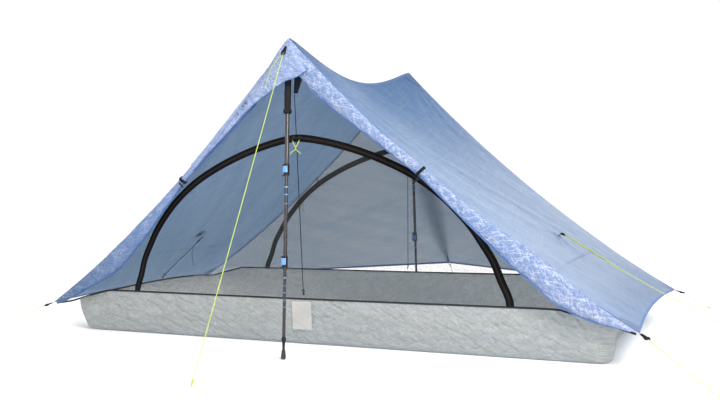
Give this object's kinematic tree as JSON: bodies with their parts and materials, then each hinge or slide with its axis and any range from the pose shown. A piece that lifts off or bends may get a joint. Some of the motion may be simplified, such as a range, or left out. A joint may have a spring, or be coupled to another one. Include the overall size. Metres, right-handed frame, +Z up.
{
  "type": "a-frame tent",
  "caption": "Two-pole A-frame tent pitched over a bathtub floor, with mesh inner walls, arched zip doors, roll-back storm doors, trekking poles and guylines.",
  "frame": {"origin": "middle of the underside of the bathtub floor, on the ground", "axes": "+X along the tent's long side, -Y towards the open front with the furled doors, +Z up"},
  "size_m": [3.2412, 2.6626, 1.1882],
  "materials": {
    "canopy_cloth": "translucent crinkled laminate, satin",
    "floor_cloth": "translucent grey laminate, slightly glossy",
    "insect_mesh": "fine black net",
    "zip_tape": "woven tape with a sealed coil",
    "webbing": "woven black webbing and tape",
    "black_plastic": "moulded, matte",
    "clamp_plastic": "moulded light blue",
    "carbon_tube": "dark carbon tube, satin",
    "grip_foam": "closed-cell foam",
    "foot_rubber": "moulded rubber",
    "lime_cord": "braided lime cord",
    "black_cord": "thin black elastic cord"
  },
  "bodies": {
    "shelter": {"canopy_left": "canopy_cloth", "canopy_right": "canopy_cloth", "ridge_seam": "canopy_cloth", "peak_gussets": "webbing", "front_door_left": "canopy_cloth", "front_door_right": "canopy_cloth", "tub_floor": "floor_cloth", "tub_wall_front": "floor_cloth", "tub_wall_rear": "floor_cloth", "tub_end_left": "floor_cloth", "tub_end_right": "floor_cloth", "rim_binding": "webbing", "mesh_wall_front": "insect_mesh", "mesh_wall_rear": "insect_mesh", "mesh_ends": "insect_mesh", "zip_track_front": "zip_tape", "zip_track_rear": "zip_tape", "front_grip": "grip_foam", "rear_grip": "grip_foam", "front_upper_tube": "carbon_tube", "rear_upper_tube": "carbon_tube", "upper_collars": "black_plastic", "linelocs": "black_plastic", "tie_out_tabs": "webbing", "door_toggles": "black_plastic", "cord_hooks": "black_plastic", "guy_front_peak": "lime_cord", "guy_rear_peak": "lime_cord", "guy_front_left": "lime_cord", "guy_front_right": "lime_cord", "guy_rear_left": "lime_cord", "guy_rear_right": "lime_cord", "guy_side_left": "lime_cord", "guy_side_right": "lime_cord", "hang_front": "black_cord", "hang_rear": "black_cord", "hang_left": "black_cord", "hang_right": "black_cord"},
    "front_pole_middle": {"front_middle_tube": "carbon_tube", "front_lower_collar": "black_plastic"},
    "front_pole_lower": {"front_lower_tube": "carbon_tube", "front_ferrule": "black_plastic", "front_foot": "foot_rubber"},
    "front_upper_clamp": {"front_upper_lever": "clamp_plastic"},
    "front_lower_clamp": {"front_lower_lever": "clamp_plastic"},
    "rear_pole_middle": {"rear_middle_tube": "carbon_tube", "rear_lower_collar": "black_plastic"},
    "rear_pole_lower": {"rear_lower_tube": "carbon_tube", "rear_ferrule": "black_plastic", "rear_foot": "foot_rubber"},
    "rear_upper_clamp": {"rear_upper_lever": "clamp_plastic"},
    "rear_lower_clamp": {"rear_lower_lever": "clamp_plastic"},
    "storm_door_left": {"rear_door_left": "canopy_cloth"},
    "storm_door_right": {"rear_door_right": "canopy_cloth"},
    "inner_door_front": {"mesh_door_front": "insect_mesh"},
    "inner_door_rear": {"mesh_door_rear": "insect_mesh"},
    "zip_slider_front_left": {"front_slider_left": "black_plastic"},
    "zip_slider_front_right": {"front_slider_right": "black_plastic"},
    "zip_slider_rear_upper": {"rear_slider_upper": "black_plastic"},
    "zip_slider_rear_lower": {"rear_slider_lower": "black_plastic"}
  },
  "joints": [
    {"name": "front_middle_slide", "type": "slide", "parent": "shelter", "child": "front_pole_middle", "axis": [-0.0609, 0.1886, 0.9802], "range_m": [0, 0.3]},
    {"name": "front_lower_slide", "type": "slide", "parent": "front_pole_middle", "child": "front_pole_lower", "axis": [-0.0609, 0.1886, 0.9802], "range_m": [0, 0.245]},
    {"name": "front_upper_lever_turn", "type": "hinge", "parent": "shelter", "child": "front_upper_clamp", "pos_m": [-0.00089, -0.70109, 0.68227], "axis": [0.0609, -0.1886, -0.9802], "range_deg": [0, 100]},
    {"name": "front_lower_lever_turn", "type": "hinge", "parent": "front_pole_middle", "child": "front_lower_clamp", "pos_m": [0.02018, -0.76635, 0.34313], "axis": [0.0609, -0.1886, -0.9802], "range_deg": [0, 100]},
    {"name": "rear_middle_slide", "type": "slide", "parent": "shelter", "child": "rear_pole_middle", "axis": [0.0609, -0.1886, 0.9802], "range_m": [0, 0.3]},
    {"name": "rear_lower_slide", "type": "slide", "parent": "rear_pole_middle", "child": "rear_pole_lower", "axis": [0.0609, -0.1886, 0.9802], "range_m": [0, 0.245]},
    {"name": "rear_upper_lever_turn", "type": "hinge", "parent": "shelter", "child": "rear_upper_clamp", "pos_m": [-0.03, 0.71199, 0.68628], "axis": [-0.0609, 0.1886, -0.9802], "range_deg": [0, 100]},
    {"name": "rear_lower_lever_turn", "type": "hinge", "parent": "rear_pole_middle", "child": "rear_lower_clamp", "pos_m": [-0.05107, 0.77725, 0.34715], "axis": [-0.0609, 0.1886, -0.9802], "range_deg": [0, 100]},
    {"name": "storm_door_left_swing", "type": "hinge", "parent": "shelter", "child": "storm_door_left", "pos_m": [-0.621, 0.6235, 0.657], "axis": [0.7606, 0.0129, 0.6491], "range_deg": [0, 90]},
    {"name": "storm_door_right_swing", "type": "hinge", "parent": "shelter", "child": "storm_door_right", "pos_m": [0.621, 0.6235, 0.657], "axis": [0.7606, -0.0129, -0.6491], "range_deg": [0, 90]},
    {"name": "inner_door_front_fold", "type": "hinge", "parent": "shelter", "child": "inner_door_front", "pos_m": [0, -0.558, 0.185], "axis": [-1, 0, 0], "range_deg": [0, 55]},
    {"name": "inner_door_rear_fold", "type": "hinge", "parent": "shelter", "child": "inner_door_rear", "pos_m": [0, 0.558, 0.185], "axis": [1, 0, 0], "range_deg": [0, 55]},
    {"name": "zip_front_left_run", "type": "hinge", "parent": "shelter", "child": "zip_slider_front_left", "pos_m": [0.18788, -0.5209, -0.52289], "axis": [0, -0.9986, -0.0523], "range_deg": [0, 18]},
    {"name": "zip_front_right_run", "type": "hinge", "parent": "shelter", "child": "zip_slider_front_right", "pos_m": [-0.18788, -0.5209, -0.52289], "axis": [0, 0.9986, 0.0523], "range_deg": [0, 18]},
    {"name": "zip_rear_upper_run", "type": "hinge", "parent": "shelter", "child": "zip_slider_rear_upper", "pos_m": [-0.08905, 0.54935, 0.01988], "axis": [0, 0.9986, -0.0523], "range_deg": [0, 15]},
    {"name": "zip_rear_lower_run", "type": "hinge", "parent": "shelter", "child": "zip_slider_rear_lower", "pos_m": [-0.08905, 0.54935, 0.01988], "axis": [0, -0.9986, 0.0523], "range_deg": [0, 30]}
  ]
}
